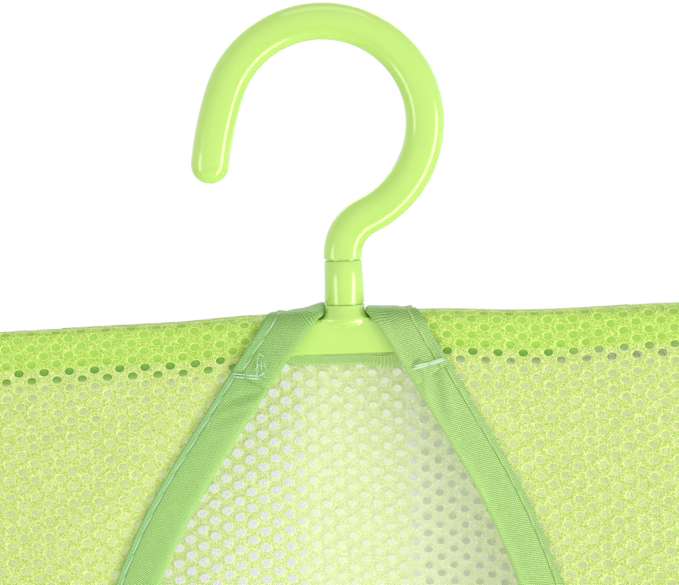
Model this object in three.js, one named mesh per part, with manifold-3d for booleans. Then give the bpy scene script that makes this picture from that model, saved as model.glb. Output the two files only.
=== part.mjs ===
import * as THREE from 'three';
import { mergeVertices } from 'three/addons/utils/BufferGeometryUtils.js';
import Module from 'manifold-3d';

// A hanging mesh organizer: a round swivel hook snaps into a straight plastic bar,
// and the bar carries a net bag whose teardrop mouth is bound with folded tape.
// Millimetres, +Z up, +X to the right, the mouth faces -Y.
// The origin is on the swivel axis, where the inside of the hook's round rests on a rail.

const wasm = await Module();
wasm.setup();

// The hook.
const seatDiameter = 36.9;
const rodDiameter = 8.5;
const hookSetback = 3.45;
const reverseBendRadius = 9.8;
const tailRadius = 75;
const tailLength = 16.6;
const collarLead = 0.5;
const collarHeight = 10;
const collarTopDiameter = 8.3;
const collarBottomDiameter = 8.8;
const collarStep = 0.35;

// The snap that holds the hook in the hanger's neck.
const stemDiameter = 4;
const barbDiameter = 5.4;
const barbHeight = 2.1;
const barbSlot = 0.9;

// The hanger.
const neckDiameter = 8.8;
const neckHeight = 3;
const neckFillet = 2;
const neckBossDrop = 4.4;
const barLength = 300;
const barHeight = 7.8;
const barDepth = 7.6;
const barWall = 1.7;
const armStart = 8;
const barEdgeRound = 1;
const ribPitch = 24;
const ribThickness = 1.4;
const socketWall = 2.2;

// Fits.
const runningGap = 0.3;
const seatGap = 0.3;
const netEase = 0.45;
const netSettleStart = 21;
const netSettleRun = 18;
const cutOverrun = 4;
const weldDistance = 0.00001;

// The net and its tape.
const netThickness = 0.8;
const tapeWidth = 9.3;
const tapeLeaf = 0.5;
const bagTopWidth = 338;
const bagFlare = 12;
const bagDrop = 378;
const frontBelly = 24;
const backBelly = 15;
const bottomEase = 70;
const barEndEase = 8;
const foldDepth = 1.5;
const foldPitch = 88;
const openingMargin = 3;

// The mouth, given at the middle of its tape, from behind the neck to the foot of the oval.
const neckTapeDrop = 6.4;
const neckTapeBend = 5.6;
const shoulderBend = 8;
const mouthSideRadius = 134;
const mouthHipRadius = 80;
const mouthFootRadius = 40;
const mouthHalfWidth = 52.5;
const mouthLean = 4.5;
const tackDrop = 11.6;

// Angles and counts.
const tailStartAngle = THREE.MathUtils.degToRad(160);
const mouthSlant = THREE.MathUtils.degToRad(32.4);
const armSlope = THREE.MathUtils.degToRad(1);
const quarterTurn = Math.PI / 2;
const halves = [0, 0.5, 1];
const bellyLevelShare = 0.62;
const bellyFootShare = 0.34;
const barbLipShare = 0.25;
const barbTipShare = 0.4;
const bossTipShare = 0.25;
const bossDomeShares = [[0.55, 0.24], [0.85, 0.1], [1, -0.1]];
const capAngles = [80, 60, 40, 20].map(THREE.MathUtils.degToRad);
const rodTurn = 0.105;
const rodSides = 20;
const roundSides = 32;
const filletSteps = 4;
const edgeSegments = 3;
const endSegments = 10;
const easeSteps = 3;
const foldSteps = 3;
const tapeSteps = 3;
const openingColumns = 12;
const openingRows = 11;
const openingShare = 0.56;
const neckStep = 1.2;
const mouthStep = 6;

// Levels and places that follow from the sizes.
const rodRadius = rodDiameter / 2;
const seatRadius = seatDiameter / 2;
const loopRadius = seatRadius + rodRadius;
const loopCentreZ = -Math.sqrt(seatRadius ** 2 - hookSetback ** 2);
const reverseStart = Math.acos((hookSetback + reverseBendRadius) / (loopRadius + reverseBendRadius));
const tipAngle = tailStartAngle + tailLength / tailRadius;
const bendEndZ = loopCentreZ - (loopRadius + reverseBendRadius) * Math.sin(reverseStart);
const collarTopZ = bendEndZ - collarLead;
const collarBottomZ = collarTopZ - collarHeight;
const neckTopZ = collarBottomZ - runningGap;
const barTopZ = neckTopZ - neckHeight;
const barMiddleZ = barTopZ - barHeight / 2;
const channelTopZ = barTopZ - barWall;
const barbTopZ = channelTopZ - runningGap;
const barHalfDepth = barDepth / 2;
const netRise = seatGap + tapeLeaf + netEase + netThickness / 2;
const netTopZ = barTopZ + netRise;
const netHalfDepth = barHalfDepth + netRise;
const netCorner = barEdgeRound + netRise;
const seamHalf = (seatGap + netThickness) / 2;
const foldRun = netHalfDepth - netCorner + netCorner * quarterTurn;
const tapeHold = tapeWidth - tapeLeaf - netEase;
const tapeHalf = tapeWidth / 2;

// Solids and booleans.

function solidOf(geometry) {
  const bare = geometry.clone();
  bare.deleteAttribute('normal');
  bare.deleteAttribute('uv');
  const merged = mergeVertices(bare, weldDistance);
  return new wasm.Manifold(new wasm.Mesh({
    numProp: 3,
    vertProperties: new Float32Array(merged.attributes.position.array),
    triVerts: new Uint32Array(merged.index.array),
  }));
}

function geometryOf(solid) {
  const mesh = solid.getMesh();
  const geometry = new THREE.BufferGeometry();
  geometry.setAttribute('position', new THREE.BufferAttribute(new Float32Array(mesh.vertProperties), 3));
  geometry.setIndex(new THREE.BufferAttribute(new Uint32Array(mesh.triVerts), 1));
  geometry.computeVertexNormals();
  return geometry;
}

function closedGeometry(points, triangles) {
  const volume = triangles.reduce((sum, [a, b, c]) => {
    const cross = new THREE.Vector3().crossVectors(points[b], points[c]);
    return sum + points[a].dot(cross);
  }, 0);
  const order = volume > 0 ? triangles : triangles.map(([a, b, c]) => [a, c, b]);
  const geometry = new THREE.BufferGeometry().setFromPoints(points);
  geometry.setIndex(order.flat());
  geometry.computeVertexNormals();
  return geometry;
}

// Skins a row of equal rings and closes both ends with the section's own outline.
function loft(rings, outline) {
  const sides = outline.length;
  const points = rings.flat();
  const triangles = [];
  for (let ring = 0; ring + 1 < rings.length; ring += 1) {
    for (let side = 0; side < sides; side += 1) {
      const next = (side + 1) % sides;
      const low = ring * sides;
      const high = low + sides;
      triangles.push([low + side, low + next, high + next], [low + side, high + next, high + side]);
    }
  }
  const last = (rings.length - 1) * sides;
  for (const [a, b, c] of THREE.ShapeUtils.triangulateShape(outline, [])) {
    triangles.push([b, a, c], [last + a, last + b, last + c]);
  }
  return closedGeometry(points, triangles);
}

function lathe(profile, segments = roundSides) {
  const points = profile.map(([radius, height]) => new THREE.Vector2(radius, height));
  return new THREE.LatheGeometry(points, segments).rotateX(quarterTurn);
}

function block(lowX, highX, lowY, highY, lowZ, highZ) {
  const box = new THREE.BoxGeometry(highX - lowX, highY - lowY, highZ - lowZ);
  return box.translate((lowX + highX) / 2, (lowY + highY) / 2, (lowZ + highZ) / 2);
}

// The hook: one moulding of a round rod, a collar and a slotted snap barb.

const towards = (angle) => new THREE.Vector3(Math.cos(angle), 0, Math.sin(angle));

// Stations along an arc: a point on the rod's middle line, and the way out of the round.
function arcStations(centre, radius, from, to, side) {
  const count = Math.ceil(Math.abs(to - from) / rodTurn);
  return Array.from({ length: count }, (_, step) => {
    const way = towards(from + ((to - from) * step) / count);
    return { point: centre.clone().addScaledVector(way, radius), out: way.multiplyScalar(side) };
  });
}

// From the tip along the tail, over the round, through the reverse bend and down the neck.
function rodStations() {
  const centre = new THREE.Vector3(-hookSetback, 0, loopCentreZ);
  const tailCentre = centre.clone().addScaledVector(towards(tailStartAngle), loopRadius - tailRadius);
  const reverseReach = loopRadius + reverseBendRadius;
  const reverseCentre = centre.clone().addScaledVector(towards(-reverseStart), reverseReach);
  const outward = new THREE.Vector3(1, 0, 0);
  return [
    ...arcStations(tailCentre, tailRadius, tipAngle, tailStartAngle, 1),
    ...arcStations(centre, loopRadius, tailStartAngle, -reverseStart, 1),
    ...arcStations(reverseCentre, reverseBendRadius, Math.PI - reverseStart, Math.PI, -1),
    { point: new THREE.Vector3(0, 0, bendEndZ), out: outward },
    { point: new THREE.Vector3(0, 0, collarTopZ - collarHeight / 2), out: outward },
  ];
}

function rodSolid() {
  const stations = rodStations();
  const outline = Array.from({ length: rodSides }, (_, side) => {
    const angle = (2 * Math.PI * side) / rodSides;
    return new THREE.Vector2(Math.cos(angle), Math.sin(angle)).multiplyScalar(rodRadius);
  });
  const ringAt = ({ point, out }, share) => outline.map((spot) => point.clone()
    .addScaledVector(out, spot.x * share)
    .add(new THREE.Vector3(0, spot.y * share, 0)));
  // The tip is a half ball: rings that shrink as they move on along the tail.
  const tip = stations[0];
  const along = towards(tipAngle + quarterTurn);
  const cap = capAngles.map((angle) => {
    const point = tip.point.clone().addScaledVector(along, rodRadius * Math.sin(angle));
    return ringAt({ point, out: tip.out }, Math.cos(angle));
  });
  return solidOf(loft([...cap, ...stations.map((station) => ringAt(station, 1))], outline));
}

function collarAndSnapSolid() {
  const collarTop = collarTopDiameter / 2;
  const collarBottom = collarBottomDiameter / 2;
  const stem = stemDiameter / 2;
  const barb = barbDiameter / 2;
  return solidOf(lathe([
    [0, barbTopZ - barbHeight],
    [barb * barbTipShare, barbTopZ - barbHeight],
    [barb, barbTopZ - barbHeight * barbLipShare],
    [barb, barbTopZ],
    [stem, barbTopZ],
    [stem, collarBottomZ],
    [collarBottom - collarStep / 2, collarBottomZ],
    [collarBottom, collarBottomZ + collarStep / 2],
    [collarTop, collarTopZ - collarStep],
    [collarTop - collarStep, collarTopZ],
    [0, collarTopZ],
  ]));
}

function hookGeometry() {
  const slotTopZ = channelTopZ + runningGap;
  const slotBottomZ = barbTopZ - barbHeight - cutOverrun;
  const slot = block(-barbSlot / 2, barbSlot / 2, -barbDiameter, barbDiameter, slotBottomZ, slotTopZ);
  return geometryOf(rodSolid().add(collarAndSnapSolid()).subtract(solidOf(slot)));
}

// The hanger: a bar open at the back with cross ribs, and a neck with the hook's socket.

// Both arms fall away a little from the level middle.
function armFall(x) {
  return Math.tan(armSlope) * Math.max(0, Math.abs(x) - armStart);
}

function barOutline(half, radius) {
  const reach = half - radius;
  const shape = new THREE.Shape();
  shape.moveTo(-armStart, -radius);
  shape.lineTo(armStart, -radius);
  shape.absarc(reach, -armFall(reach), radius, -quarterTurn, quarterTurn, false);
  shape.lineTo(armStart, radius);
  shape.lineTo(-armStart, radius);
  shape.absarc(-reach, -armFall(reach), radius, quarterTurn, 3 * quarterTurn, false);
  return shape;
}

function barSolid() {
  const inner = barHeight / 2 - barEdgeRound;
  const bar = new THREE.ExtrudeGeometry(barOutline(barLength / 2 - barEdgeRound, inner), {
    depth: barDepth - 2 * barEdgeRound,
    bevelSize: barEdgeRound,
    bevelThickness: barEdgeRound,
    bevelSegments: edgeSegments,
    curveSegments: endSegments,
  });
  return solidOf(bar.rotateX(quarterTurn).translate(0, barHalfDepth - barEdgeRound, barMiddleZ));
}

function neckSolid() {
  const neck = neckDiameter / 2;
  const fillet = [];
  for (let step = 0; step <= filletSteps; step += 1) {
    const angle = (quarterTurn * step) / filletSteps;
    const radius = neck + neckFillet * (1 - Math.cos(angle));
    fillet.push([radius, barTopZ + neckFillet * (1 - Math.sin(angle))]);
  }
  const flareBottomZ = barTopZ - barWall / 2;
  const flareEnd = neck + neckFillet;
  const flareTopZ = barTopZ + neckFillet;
  const flare = lathe([[0, flareBottomZ], [flareEnd, flareBottomZ], ...fillet.reverse(), [0, flareTopZ]]);
  const slabBottomZ = barTopZ - barHeight;
  const slab = block(-barLength, barLength, -barHalfDepth, barHalfDepth, slabBottomZ, neckTopZ);
  const bossBottomZ = barTopZ - neckBossDrop;
  const boss = lathe([
    [0, bossBottomZ - neck * bossTipShare],
    ...bossDomeShares.map(([wide, drop]) => [neck * wide, bossBottomZ - neck * drop]),
    [neck, neckTopZ],
    [0, neckTopZ],
  ]);
  const behind = block(-neckDiameter, neckDiameter, barHalfDepth, neckDiameter, slabBottomZ, barTopZ);
  return solidOf(flare).intersect(solidOf(slab)).add(solidOf(boss)).subtract(solidOf(behind));
}

// Pockets from the back leave the front face, the two flanges and the ribs.
function pocketSolids() {
  const floorY = -barHalfDepth + barWall;
  const highY = barHalfDepth + cutOverrun;
  const pocketTop = barHeight / 2 - barWall;
  const firstX = barbDiameter / 2 + runningGap + socketWall;
  const lastX = barLength / 2 - barHeight / 2;
  const count = Math.max(1, Math.round((lastX - firstX) / ribPitch));
  const pitch = (lastX - firstX + ribThickness) / count;
  const pockets = [];
  for (let index = 0; index < count; index += 1) {
    const lowX = firstX + index * pitch;
    const highX = lowX + pitch - ribThickness;
    const middleZ = barMiddleZ - armFall((lowX + highX) / 2);
    for (const [from, to] of [[lowX, highX], [-highX, -lowX]]) {
      pockets.push(block(from, to, floorY, highY, middleZ - pocketTop, middleZ + pocketTop));
    }
  }
  return pockets.map(solidOf);
}

// The bore takes the stem, and the socket below it leaves the barb free to turn.
function socketSolid() {
  const bore = stemDiameter / 2 + runningGap;
  const room = barbDiameter / 2 + runningGap;
  const floorZ = barTopZ - barHeight + barWall;
  const shaft = lathe([
    [0, floorZ],
    [room, floorZ],
    [room, channelTopZ],
    [bore, channelTopZ],
    [bore, neckTopZ + cutOverrun],
    [0, neckTopZ + cutOverrun],
  ]);
  const window = block(-room, room, 0, barHalfDepth + cutOverrun, floorZ, channelTopZ);
  return solidOf(shaft).add(solidOf(window));
}

function hangerGeometry() {
  const body = barSolid().add(neckSolid()).subtract(socketSolid());
  return geometryOf(pocketSolids().reduce((solid, pocket) => solid.subtract(pocket), body));
}

// The bag's surface: x is across, drop is the way down from the fold on the bar's top,
// positive in front and negative behind.

const smooth = (share) => THREE.MathUtils.smoothstep(share, 0, 1);

// The way down from the fold to a level below the bar's top.
function dropAtZ(z) {
  return foldRun + netTopZ - netCorner - z;
}

function halfWidthAt(down) {
  return (bagTopWidth + (bagFlare * down) / bagDrop) / 2;
}

// The cloth lies on the bar, but stands off it by a leaf of tape where the neck's tape runs.
function riseAt(x) {
  const settled = seatGap + netThickness / 2 + netEase / 2;
  return THREE.MathUtils.lerp(netRise, settled, smooth((Math.abs(x) - netSettleStart) / netSettleRun));
}

// How far the middle of the cloth stands off the seam plane, once below the bar's top.
function standOff(x, drop) {
  const down = Math.abs(drop);
  const fromSide = halfWidthAt(down) - Math.abs(x) - tapeWidth;
  const aboveFoot = bagDrop - down - tapeWidth;
  const barPart = smooth(fromSide / barEndEase) * smooth(aboveFoot / bottomEase);
  const belly = drop > 0 ? frontBelly : backBelly;
  const half = halfWidthAt(down) - tapeWidth;
  const across = Math.max(0, 1 - (x / half) ** 2);
  const below = THREE.MathUtils.clamp((down - netHalfDepth - barHeight) / bagDrop, 0, 1);
  const fall = smooth(below / bellyLevelShare) * smooth(aboveFoot / (bagDrop * bellyFootShare));
  const folds = foldDepth * Math.cos((2 * Math.PI * (x + foldPitch * below)) / foldPitch);
  const onBar = barHalfDepth + riseAt(x) - seamHalf;
  return seamHalf + onBar * barPart + (belly + folds * across) * across * fall;
}

function clothPoint(x, drop) {
  const down = Math.abs(drop);
  const reach = standOff(x, drop);
  const rise = riseAt(x);
  const corner = Math.min(barEdgeRound + rise, reach);
  const flat = Math.min(barHalfDepth + rise, reach) - corner;
  const bend = corner * quarterTurn;
  const side = drop > 0 ? -1 : 1;
  const topZ = netTopZ - (netRise - rise + armFall(x)) * (1 - down / bagDrop);
  if (down <= flat) return new THREE.Vector3(x, side * down, topZ);
  if (down <= flat + bend) {
    const angle = (down - flat) / corner;
    const away = flat + corner * Math.sin(angle);
    return new THREE.Vector3(x, side * away, topZ - corner * (1 - Math.cos(angle)));
  }
  return new THREE.Vector3(x, side * reach, topZ - corner - (down - flat - bend));
}

// A point that stands off the cloth's middle by height, positive to the outside.
function clothOffset(x, drop, height) {
  const step = seatGap / 4;
  const acrossWay = clothPoint(x + step, drop).sub(clothPoint(x - step, drop));
  const downWay = clothPoint(x, drop + step).sub(clothPoint(x, drop - step));
  const normal = acrossWay.cross(downWay).normalize();
  return clothPoint(x, drop).addScaledVector(normal, -height);
}

// The mouth's tape line in the cloth's own plane, from behind the neck to the foot. Its first
// stretch is one tape and the rest another, and they meet at the tack on each side.

const footAngle = Math.asin((mouthHipRadius - mouthHalfWidth) / (mouthHipRadius - mouthFootRadius));
const seamX = tapeHalf + neckTapeBend;
const slantX = seamX + shoulderBend * (1 - Math.cos(mouthSlant));
const hipX = mouthHalfWidth - mouthSideRadius * (1 - Math.cos(mouthSlant));
const slantRun = (hipX - slantX) / Math.sin(mouthSlant);
const tackRun = (dropAtZ(barTopZ - tackDrop) - shoulderBend * Math.sin(mouthSlant)) / Math.cos(mouthSlant);
const neckBackDrop = dropAtZ(barTopZ - neckTapeDrop);

const neckStretches = [
  { run: tapeHalf, turn: 0 },
  { run: neckTapeBend * quarterTurn, turn: quarterTurn },
  { run: neckBackDrop - neckTapeBend, turn: 0 },
  { run: shoulderBend * mouthSlant, turn: -mouthSlant },
  { run: tackRun - seatGap / 2, turn: 0 },
];

const mouthStretches = [
  { run: slantRun - tackRun - seatGap / 2, turn: 0 },
  { run: mouthSideRadius * mouthSlant, turn: mouthSlant },
  { run: mouthHipRadius * (quarterTurn - footAngle), turn: quarterTurn - footAngle },
  { run: mouthFootRadius * footAngle, turn: footAngle },
];

// Moves a spot straight on along its heading.
function moveOn({ x, drop, heading }, run) {
  return { x: x + run * Math.cos(heading), drop: drop + run * Math.sin(heading), heading };
}

// Walks straight and curved stretches and returns a spot with its heading at every step.
function walk(start, stretches, step) {
  const spots = [start];
  for (const { run, turn } of stretches) {
    const count = Math.max(1, Math.round(run / step));
    const bend = turn / count;
    const chord = bend ? 2 * (run / turn) * Math.sin(bend / 2) : run / count;
    for (let index = 0; index < count; index += 1) {
      const { x, drop, heading } = spots[spots.length - 1];
      const moved = moveOn({ x, drop, heading: heading + bend / 2 }, chord);
      spots.push({ x: moved.x, drop: moved.drop, heading: heading + bend });
    }
  }
  return spots;
}

const neckSpots = walk({ x: 0, drop: -neckBackDrop, heading: 0 }, neckStretches, neckStep);
const tackSpot = neckSpots[neckSpots.length - 1];
const mouthSpots = walk(moveOn(tackSpot, seatGap), mouthStretches, mouthStep);

// The oval hangs a little to the left between the neck and its foot.
function leaned(spots) {
  const footDrop = mouthSpots[mouthSpots.length - 1].drop;
  return spots.map(({ x, drop, heading }) => {
    const lean = mouthLean * Math.sin((Math.PI * Math.max(0, drop)) / footDrop);
    return { x: x - lean, drop, heading };
  });
}

// The whole way round the mouth, from behind the neck and back to it.
const rightRound = [...neckSpots, ...mouthSpots];
const mouthRound = leaned([...rightRound, ...mirrored(rightRound)]);

// The same spots on the other side, walked the other way.
function mirrored(spots) {
  return spots.map(({ x, drop, heading }) => ({ x: -x, drop, heading: -heading })).reverse();
}

// The place beside a spot, towards the inside of the mouth.
function beside({ x, drop, heading }, offset) {
  return { x: x - offset * Math.sin(heading), drop: drop + offset * Math.cos(heading) };
}

// Panels: a grid of the cloth's surface given its thickness, less the net's openings and the mouth.

// Splits a length into even pitches, each with an opening in its middle.
function openingPlaces(from, to, count) {
  const pitch = (to - from) / count;
  const web = (pitch * (1 - openingShare)) / 2;
  const places = [from];
  for (let index = 0; index < count; index += 1) {
    places.push(from + index * pitch + web, from + (index + 1) * pitch - web);
  }
  return [...places, to];
}

function acrossPlaces(down) {
  const half = halfWidthAt(down);
  const side = [half];
  for (let step = 0; step < easeSteps; step += 1) {
    side.push(half - tapeWidth - (barEndEase * step) / easeSteps);
  }
  const reach = half - tapeWidth - barEndEase;
  return [...side, ...openingPlaces(reach, -reach, openingColumns), ...side.map((x) => -x).reverse()];
}

// The panel's top edge: on the fold above the bar, and upright beside its neighbour past the bar.
function topDrop(x) {
  const share = standOff(x, seatGap) / netHalfDepth;
  return THREE.MathUtils.lerp(seamHalf * quarterTurn, seatGap / 2, smooth(share));
}

function downPlaces() {
  const flat = netHalfDepth - netCorner;
  const bend = netCorner * quarterTurn;
  const rows = [0, flat];
  for (let step = 1; step <= foldSteps; step += 1) rows.push(flat + (bend * step) / foldSteps);
  return [...rows, ...openingPlaces(foldRun + barHeight, bagDrop - tapeWidth, openingRows), bagDrop];
}

// The net is left whole along the mouth's tape, so that its edge has a firm seat.
function clearOfTape({ x, drop }) {
  return mouthRound.every((spot) => Math.hypot(spot.x - x, spot.drop - drop) > tapeHalf + openingMargin);
}

// Tells which cells of a panel's grid are openings, from the cell's row and column.
function isOpening(rows) {
  const firstRow = rows.length - 2 * openingRows - 2;
  const firstColumn = easeSteps + 2;
  return (row, column) => {
    const down = row - firstRow;
    const across = column - firstColumn;
    if (down < 0 || down % 2 || down >= 2 * openingRows) return false;
    if (across < 0 || across % 2 || across >= 2 * openingColumns) return false;
    const corner = rows[row][column];
    const opposite = rows[row + 1][column + 1];
    return halves.every((right) => halves.every((low) => clearOfTape({
      x: THREE.MathUtils.lerp(corner.x, opposite.x, right),
      drop: THREE.MathUtils.lerp(corner.drop, opposite.drop, low),
    })));
  };
}

function panelSolid(side) {
  const rows = downPlaces().map((down) => acrossPlaces(down)
    .map((x) => ({ x, drop: side * Math.max(down, topDrop(x)) })));
  const columns = rows[0].length;
  const spots = rows.flat();
  const layer = (height) => spots.map(({ x, drop }) => clothOffset(x, drop, height));
  const points = [...layer(netThickness / 2), ...layer(-netThickness / 2)];
  const outer = (row, column) => row * columns + column;
  const inner = (row, column) => spots.length + outer(row, column);
  const triangles = [];
  const quad = (a, b, c, d) => triangles.push([a, b, c], [a, c, d]);
  const wall = (a, b) => quad(outer(...a), outer(...b), inner(...b), inner(...a));
  const lastRow = rows.length - 1;
  const lastColumn = columns - 1;
  const open = isOpening(rows);
  const filled = (row, column) => row >= 0 && row < lastRow
    && column >= 0 && column < lastColumn && !open(row, column);
  for (let row = 0; row < lastRow; row += 1) {
    const under = row + 1;
    for (let column = 0; column < lastColumn; column += 1) {
      if (!filled(row, column)) continue;
      const next = column + 1;
      quad(outer(row, column), outer(row, next), outer(under, next), outer(under, column));
      quad(inner(row, next), inner(row, column), inner(under, column), inner(under, next));
      if (!filled(row, column - 1)) wall([row, column], [under, column]);
      if (!filled(row, next)) wall([under, next], [row, next]);
      if (!filled(row - 1, column)) wall([row, next], [row, column]);
      if (!filled(under, column)) wall([under, column], [under, next]);
    }
  }
  return solidOf(closedGeometry(points, triangles));
}

// The mouth's cut runs inside the tape's fold, clear of it.
function mouthCut(side) {
  const inset = tapeHold - tapeHalf;
  const topZ = netTopZ + cutOverrun;
  const half = [...neckSpots, ...mouthSpots].filter(({ drop }) => side * drop > foldRun / 2);
  const run = side > 0 ? half.reverse() : half;
  const outline = (spots) => leaned(spots)
    .map((spot) => beside(spot, inset))
    .map(({ x, drop }) => new THREE.Vector2(x, clothPoint(x, drop).z));
  const right = outline(run);
  const left = outline(mirrored(run));
  const corners = [right[right.length - 1], left[0]].map(({ x }) => new THREE.Vector2(x, topZ));
  const depth = netHalfDepth + frontBelly + foldDepth + cutOverrun;
  const prism = new THREE.ExtrudeGeometry(new THREE.Shape([...right, ...corners, ...left]), {
    depth,
    bevelEnabled: false,
  });
  return solidOf(prism.rotateX(quarterTurn).translate(0, side > 0 ? 0 : depth, 0));
}

const meshPanelGeometry = (side) => geometryOf(panelSolid(side).subtract(mouthCut(side)));

// Tapes: woven tape folded over a cut edge, so its section is a narrow U.

function foldedTape(clothHalf) {
  const slot = clothHalf + seatGap;
  const outside = slot + tapeLeaf;
  return [
    [-tapeHalf, -slot],
    [-tapeHalf, -outside],
    [tapeHalf, -outside],
    [tapeHalf, outside],
    [-tapeHalf, outside],
    [-tapeHalf, slot],
    [tapeHalf - tapeLeaf, slot],
    [tapeHalf - tapeLeaf, -slot],
  ].map(([across, height]) => new THREE.Vector2(across, height));
}

// Adds points across the tape's long sides, so that it can bend over the bar's edge.
function subdivided(outline) {
  return outline.flatMap((corner, index) => {
    const next = outline[(index + 1) % outline.length];
    const steps = Math.abs(next.x - corner.x) > tapeHalf ? tapeSteps : 1;
    return Array.from({ length: steps }, (_, step) => corner.clone().lerp(next, step / steps));
  });
}

function clothTape(spots) {
  const section = subdivided(foldedTape(netThickness / 2 + netEase - seatGap));
  const rings = spots.map((spot) => section.map((corner) => {
    const { x, drop } = beside(spot, corner.x);
    return clothOffset(x, drop, corner.y);
  }));
  return loft(rings, section);
}

const neckBindingGeometry = () => clothTape(leaned([...mirrored(neckSpots.slice(1)), ...neckSpots]));
const mouthBindingGeometry = () => clothTape(leaned([...mouthSpots, ...mirrored(mouthSpots.slice(0, -1))]));

// A straight tape over the two panels' edges, from one end to the other.
function edgeTape(from, to, outward) {
  const section = foldedTape(seamHalf + netThickness / 2);
  const rings = [from, to].map((end) => section.map((corner) => end.clone()
    .addScaledVector(outward, corner.x)
    .add(new THREE.Vector3(0, corner.y, 0))));
  return loft(rings, section);
}

const footZ = clothPoint(0, bagDrop).z;
const edgeInset = tapeHold - tapeHalf;

function sideBindingGeometry(hand) {
  const topX = halfWidthAt(0) - edgeInset;
  const footX = halfWidthAt(bagDrop) - edgeInset;
  const topZ = clothPoint(topX, 0).z;
  const slope = (footX - topX) / (topZ - footZ);
  const lowZ = footZ + tapeHold + seatGap;
  const top = new THREE.Vector3(hand * topX, 0, topZ);
  const low = new THREE.Vector3(hand * (footX - slope * (lowZ - footZ)), 0, lowZ);
  return edgeTape(top, low, new THREE.Vector3(hand, 0, 0));
}

function bottomBindingGeometry() {
  const reach = halfWidthAt(bagDrop) + seatGap + tapeLeaf;
  const middleZ = footZ + edgeInset;
  const from = new THREE.Vector3(-reach, 0, middleZ);
  const to = new THREE.Vector3(reach, 0, middleZ);
  return edgeTape(from, to, new THREE.Vector3(0, 0, -1));
}

// The assembly.

const limePlastic = { color: '#bdea74', roughness: 0.22, metalness: 0 };
const yellowGreenNet = { color: '#d3ee8c', roughness: 0.75, metalness: 0 };
const greenTape = { color: '#8ccb74', roughness: 0.7, metalness: 0 };

function piece(name, geometry, finish) {
  const mesh = new THREE.Mesh(geometry, new THREE.MeshStandardMaterial(finish));
  mesh.name = name;
  return mesh;
}

const front = 1;
const back = -1;
const leftHand = -1;
const rightHand = 1;
const organizer = new THREE.Group();
organizer.name = 'hanging_mesh_organizer';
organizer.add(
  piece('hook', hookGeometry(), limePlastic),
  piece('hanger', hangerGeometry(), limePlastic),
  piece('mesh_front', meshPanelGeometry(front), yellowGreenNet),
  piece('mesh_back', meshPanelGeometry(back), yellowGreenNet),
  piece('mouth_binding', mouthBindingGeometry(), greenTape),
  piece('neck_binding', neckBindingGeometry(), greenTape),
  piece('left_side_binding', sideBindingGeometry(leftHand), greenTape),
  piece('right_side_binding', sideBindingGeometry(rightHand), greenTape),
  piece('bottom_binding', bottomBindingGeometry(), greenTape),
);

export default organizer;
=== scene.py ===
import math
from bisect import bisect_right

import bmesh
import bpy
from mathutils import Matrix, Vector, noise


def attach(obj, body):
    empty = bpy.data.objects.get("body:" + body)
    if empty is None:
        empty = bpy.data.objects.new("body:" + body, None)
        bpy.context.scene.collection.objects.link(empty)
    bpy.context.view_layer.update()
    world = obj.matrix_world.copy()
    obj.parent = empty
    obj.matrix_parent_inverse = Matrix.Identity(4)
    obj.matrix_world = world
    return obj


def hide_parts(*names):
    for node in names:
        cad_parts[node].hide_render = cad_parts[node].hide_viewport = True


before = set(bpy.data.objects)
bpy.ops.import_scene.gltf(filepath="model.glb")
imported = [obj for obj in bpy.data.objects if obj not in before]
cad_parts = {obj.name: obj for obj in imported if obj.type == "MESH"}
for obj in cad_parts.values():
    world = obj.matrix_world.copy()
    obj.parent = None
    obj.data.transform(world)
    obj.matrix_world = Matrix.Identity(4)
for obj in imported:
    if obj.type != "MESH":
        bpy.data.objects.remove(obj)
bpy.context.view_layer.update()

# The shot: the organizer hangs in front of plain white, seen almost level through a long lens,
# with soft light from both sides, from above and from behind. The numbers place the photograph's
# frame in the model's own.
scene = bpy.context.scene
scene.view_settings.view_transform = "Standard"

mm = 0.001
shot_aim = Vector((-1.05, 0, -56)) * mm
shot_width = 150.9 * mm
shot_distance = 1.1
shot_elevation = math.radians(5)
shot_roll = math.radians(-2.1)
lamp_distance = 0.9

to_camera = Vector((0, -math.cos(shot_elevation), math.sin(shot_elevation)))
camera_lens = bpy.data.cameras.new("camera")
camera_lens.lens = camera_lens.sensor_width * shot_distance / shot_width
camera = bpy.data.objects.new("camera", camera_lens)
scene.collection.objects.link(camera)
look = (-to_camera).to_track_quat("-Z", "Y").to_matrix().to_4x4()
stand = Matrix.Translation(shot_aim + to_camera * shot_distance)
camera.matrix_world = stand @ look @ Matrix.Rotation(shot_roll, 4, "Z")
scene.camera = camera


def soft_box(name, azimuth, elevation, lean, size, watts):
    """A soft light on the neck, azimuth to the right of the camera, with all angles in degrees."""
    way = Vector((
        math.sin(math.radians(azimuth)) * math.cos(math.radians(elevation)),
        -math.cos(math.radians(azimuth)) * math.cos(math.radians(elevation)),
        math.sin(math.radians(elevation)),
    ))
    lamp = bpy.data.lights.new(name, "AREA")
    lamp.shape = "RECTANGLE"
    lamp.size, lamp.size_y = size
    lamp.energy = watts
    holder = bpy.data.objects.new(name, lamp)
    scene.collection.objects.link(holder)
    turn = way.to_track_quat("Z", "Y").to_matrix().to_4x4()
    roll = Matrix.Rotation(math.radians(lean), 4, "Z")
    holder.matrix_world = Matrix.Translation(shot_aim + way * lamp_distance) @ turn @ roll


soft_box("light_right", 54, -26, -21, (0.32, 1.15), 6)
soft_box("light_left", -52, -14, 0, (0.34, 0.62), 1.7)
soft_box("light_top", 10, 72, 0, (0.7, 0.5), 1.2)
soft_box("light_behind", 180, 32, 0, (0.9, 0.6), 2.6)


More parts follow.
